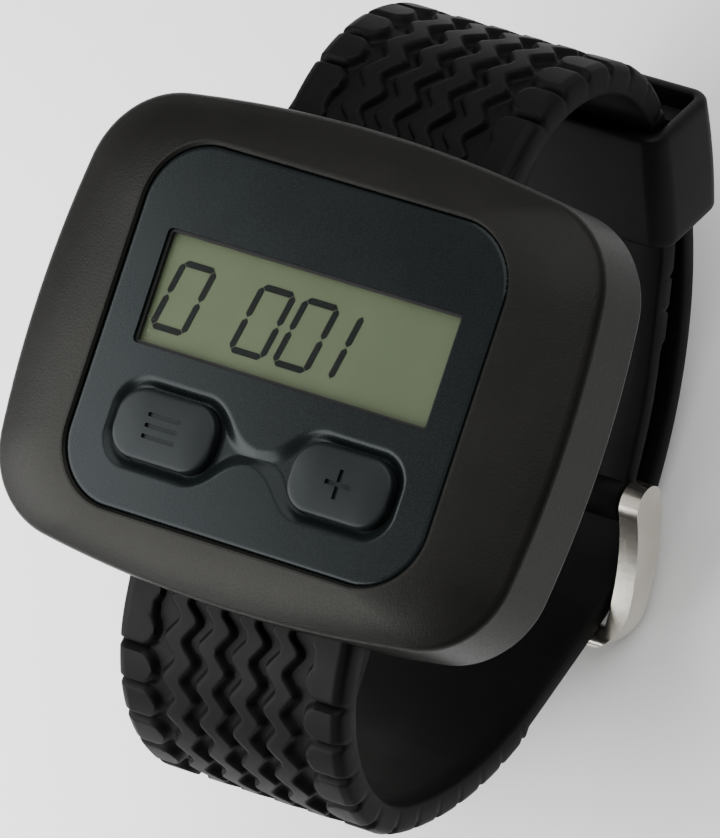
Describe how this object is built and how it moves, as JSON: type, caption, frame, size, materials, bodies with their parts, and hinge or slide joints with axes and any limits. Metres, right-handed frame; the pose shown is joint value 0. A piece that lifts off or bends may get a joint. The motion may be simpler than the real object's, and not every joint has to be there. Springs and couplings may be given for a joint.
{
  "type": "wrist tally counter",
  "caption": "Wrist-worn digital tally counter: rounded case with a small number display and two push keys, on a treaded rubber strap closed by a metal buckle and a keeper.",
  "frame": {"origin": "centre of the flat case back", "axes": "+Z out of the face, +Y towards the top of the display, +X to the right of the display"},
  "size_m": [0.0558, 0.0734, 0.0543],
  "materials": {
    "case_plastic": "fine grained matt",
    "panel_plastic": "smooth satin",
    "frame_plastic": "matt",
    "window": "clear polished",
    "lcd_glass": "clear",
    "lcd_ink": "dark",
    "lcd_back": "matt olive reflector",
    "elastomer": "soft striped elastomer",
    "button_plastic": "matt",
    "switch_plastic": "moulded",
    "chassis_plastic": "moulded",
    "board": "solder resist",
    "epoxy": "glossy epoxy",
    "chip_ceramic": "fired",
    "steel": "plain",
    "contact_brass": "plated",
    "gasket_rubber": "moulded",
    "strap_rubber": "moulded, satin",
    "keeper_rubber": "moulded, satin",
    "buckle_steel": "satin with polished bevel"
  },
  "bodies": {
    "case": {"front_shell": "case_plastic", "face_panel": "panel_plastic", "window_frame": "frame_plastic", "display_window": "window", "lcd_segments": "lcd_ink", "lcd_front_glass": "lcd_glass", "lcd_rear_glass": "lcd_glass", "lcd_reflector": "lcd_back", "contact_strip": "elastomer", "switch_bodies": "switch_plastic", "module_frame": "chassis_plastic", "circuit_board": "board", "controller_chip": "epoxy", "chip_capacitors": "chip_ceramic", "battery_tray": "chassis_plastic", "module_screws": "steel", "coin_cell": "steel", "battery_contact": "contact_brass", "battery_clip": "steel", "case_gasket": "gasket_rubber", "back_cover": "steel", "case_screws": "steel", "strap_top": "strap_rubber", "strap_bottom": "strap_rubber", "spring_bar_tubes": "steel", "spring_bar_springs": "steel"},
    "mode_key": {"mode_button": "button_plastic", "mode_switch_plunger": "switch_plastic"},
    "count_key": {"count_button": "button_plastic", "count_switch_plunger": "switch_plastic"},
    "buckle": {"buckle_frame": "buckle_steel", "buckle_bar": "steel"},
    "prong": {"buckle_prong": "buckle_steel"},
    "keeper_loop": {"keeper": "keeper_rubber"},
    "top_left_tip": {"top_left_bar_tip": "steel"},
    "top_right_tip": {"top_right_bar_tip": "steel"},
    "bottom_left_tip": {"bottom_left_bar_tip": "steel"},
    "bottom_right_tip": {"bottom_right_bar_tip": "steel"}
  },
  "joints": [
    {"name": "mode_press", "type": "slide", "parent": "case", "child": "mode_key", "axis": [0, 0, -1], "range_m": [0, 0.0006], "stiffness_N_per_m": 2500, "springref_m": -0.0003},
    {"name": "count_press", "type": "slide", "parent": "case", "child": "count_key", "axis": [0, 0, -1], "range_m": [0, 0.0006], "stiffness_N_per_m": 2500, "springref_m": -0.0003},
    {"name": "buckle_swing", "type": "hinge", "parent": "case", "child": "buckle", "pos_m": [0, -0.0008, -0.03395], "axis": [1, 0, 0], "range_deg": [0, 40]},
    {"name": "prong_swing", "type": "hinge", "parent": "buckle", "child": "prong", "pos_m": [0, -0.0008, -0.03395], "axis": [1, 0, 0], "range_deg": [0, 35]},
    {"name": "keeper_slide", "type": "slide", "parent": "case", "child": "keeper_loop", "axis": [0, -0.7337, -0.6794], "range_m": [0, 0.0025]},
    {"name": "top_left_tip_slide", "type": "slide", "parent": "case", "child": "top_left_tip", "axis": [1, 0, 0], "range_m": [0, 0.0011], "stiffness_N_per_m": 1500, "springref_m": -0.0008},
    {"name": "top_right_tip_slide", "type": "slide", "parent": "case", "child": "top_right_tip", "axis": [-1, 0, 0], "range_m": [0, 0.0011], "stiffness_N_per_m": 1500, "springref_m": -0.0008},
    {"name": "bottom_left_tip_slide", "type": "slide", "parent": "case", "child": "bottom_left_tip", "axis": [1, 0, 0], "range_m": [0, 0.0011], "stiffness_N_per_m": 1500, "springref_m": -0.0008},
    {"name": "bottom_right_tip_slide", "type": "slide", "parent": "case", "child": "bottom_right_tip", "axis": [-1, 0, 0], "range_m": [0, 0.0011], "stiffness_N_per_m": 1500, "springref_m": -0.0008}
  ]
}
